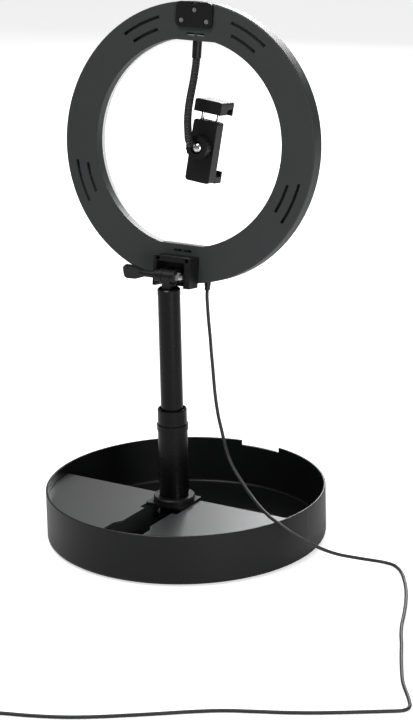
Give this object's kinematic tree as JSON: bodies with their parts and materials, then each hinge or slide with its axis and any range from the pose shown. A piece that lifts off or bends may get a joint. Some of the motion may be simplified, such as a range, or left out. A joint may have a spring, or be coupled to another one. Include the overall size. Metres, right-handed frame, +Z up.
{
  "type": "ring light",
  "caption": "Round ring light on a telescopic folding mast over a weighted tray base, with a phone clamp on a gooseneck and a USB lead with in-line remote.",
  "frame": {"origin": "centre of the round tray on the floor", "axes": "+Z up, +Y toward the side the lit face looks to"},
  "size_m": [0.5024, 0.565, 0.5055],
  "materials": {
    "tray_black": "satin",
    "deck_grey": "satin",
    "steel": "matte",
    "screw_steel": "brushed",
    "rubber_black": "matte",
    "mast_black": "gloss",
    "moulded_black": "satin",
    "white_bush": "matte",
    "cover_black": "satin",
    "board_white": "matte",
    "led_yellow": "gloss",
    "diffuser_white": "matte",
    "bright_chrome": "polished",
    "gooseneck_black": "satin",
    "board_green": "matte",
    "button_grey": "matte",
    "lead_black": "satin"
  },
  "bodies": {
    "base": {"tray_shell": "tray_black", "platform": "deck_grey", "ballast_left": "steel", "ballast_right": "steel", "platform_screws": "screw_steel", "rubber_feet": "rubber_black", "remote_lower": "moulded_black", "remote_upper": "moulded_black", "remote_board": "board_green", "cord_main": "lead_black", "cord_tail": "lead_black", "cord_coil": "lead_black", "coil_tie": "moulded_black", "cord_end": "lead_black", "usb_grip": "moulded_black", "usb_shell": "screw_steel"},
    "mast_lower": {"pivot_block": "moulded_black", "outer_tube": "mast_black", "outer_tube_cap": "mast_black", "foot_plate": "moulded_black", "foot_collar": "moulded_black"},
    "lock": {"lock_collar": "mast_black"},
    "slider": {"guide_bush": "white_bush"},
    "turner": {"inner_tube": "mast_black", "tube_end_cap": "mast_black", "neck_post": "moulded_black"},
    "ring_head": {"rear_cover": "cover_black", "led_board": "board_white", "leds": "led_yellow", "diffuser": "diffuser_white", "board_screws": "screw_steel", "top_plate": "moulded_black", "top_plate_screws": "screw_steel", "hinge_bracket": "moulded_black", "bracket_screws": "screw_steel", "holder_ferrule": "moulded_black", "cord_gland": "moulded_black", "tilt_nut": "bright_chrome"},
    "knob": {"tilt_bolt": "bright_chrome", "tilt_knob": "moulded_black"},
    "gooseneck": {"gooseneck_tube": "gooseneck_black", "ball_stud": "bright_chrome"},
    "nut": {"ball_nut": "moulded_black"},
    "holder": {"clamp_body": "moulded_black", "lower_jaw": "moulded_black", "lower_pad": "rubber_black", "back_pad": "rubber_black"},
    "jaw": {"upper_jaw": "moulded_black", "upper_pad": "rubber_black", "guide_rails": "bright_chrome"},
    "key_power": {"button_power": "button_grey"},
    "key_color": {"button_color": "button_grey"},
    "key_dim": {"button_dim": "button_grey"}
  },
  "joints": [
    {"name": "mast_fold", "type": "hinge", "parent": "base", "child": "mast_lower", "pos_m": [0, -0.02, 0.022], "axis": [1, 0, 0], "range_deg": [0, 60], "deforming": ["cord_main"]},
    {"name": "lock_twist", "type": "hinge", "parent": "mast_lower", "child": "lock", "pos_m": [0, -0.02, 0.125], "axis": [0, 0, 1], "range_deg": [0, 60]},
    {"name": "mast_slide", "type": "slide", "parent": "mast_lower", "child": "slider", "axis": [0, 0, 1], "range_m": [-0.09, 0], "deforming": ["cord_main"]},
    {"name": "head_pan", "type": "hinge", "parent": "slider", "child": "turner", "pos_m": [0, -0.02, 0.2], "axis": [0, 0, 1], "continuous": true, "deforming": ["cord_main"]},
    {"name": "head_tilt", "type": "hinge", "parent": "turner", "child": "ring_head", "pos_m": [0, -0.02, 0.261], "axis": [0.9979, 0.0654, 0], "range_deg": [-15, 100], "deforming": ["cord_main"]},
    {"name": "knob_turn", "type": "hinge", "parent": "ring_head", "child": "knob", "pos_m": [0, -0.02, 0.261], "axis": [0.9979, 0.0654, 0], "range_deg": [0, 180]},
    {"name": "gooseneck_bend", "type": "hinge", "parent": "ring_head", "child": "gooseneck", "pos_m": [-0.00416, 0.04342, 0.45199], "axis": [0.9979, 0.0654, 0], "range_deg": [-20, 20]},
    {"name": "nut_turn", "type": "hinge", "parent": "gooseneck", "child": "nut", "pos_m": [0.00253, 0.03319, 0.37162], "axis": [-0.0644, 0.9829, -0.1728], "range_deg": [-90, 0]},
    {"name": "holder_swivel", "type": "hinge", "parent": "gooseneck", "child": "holder", "pos_m": [0.00253, 0.03319, 0.37162], "axis": [-0.0644, 0.9829, -0.1728], "range_deg": [-90, 90]},
    {"name": "jaw_slide", "type": "slide", "parent": "holder", "child": "jaw", "axis": [0.0931, 0.1783, 0.9796], "range_m": [-0.006, 0.024], "stiffness_N_per_m": 250},
    {"name": "press_power", "type": "slide", "parent": "base", "child": "key_power", "axis": [0, 0, 1], "range_m": [-0.0008, 0], "stiffness_N_per_m": 600},
    {"name": "press_color", "type": "slide", "parent": "base", "child": "key_color", "axis": [0, 0, 1], "range_m": [-0.0008, 0], "stiffness_N_per_m": 600},
    {"name": "press_dim", "type": "slide", "parent": "base", "child": "key_dim", "axis": [0, 0, 1], "range_m": [-0.0008, 0], "stiffness_N_per_m": 600}
  ]
}
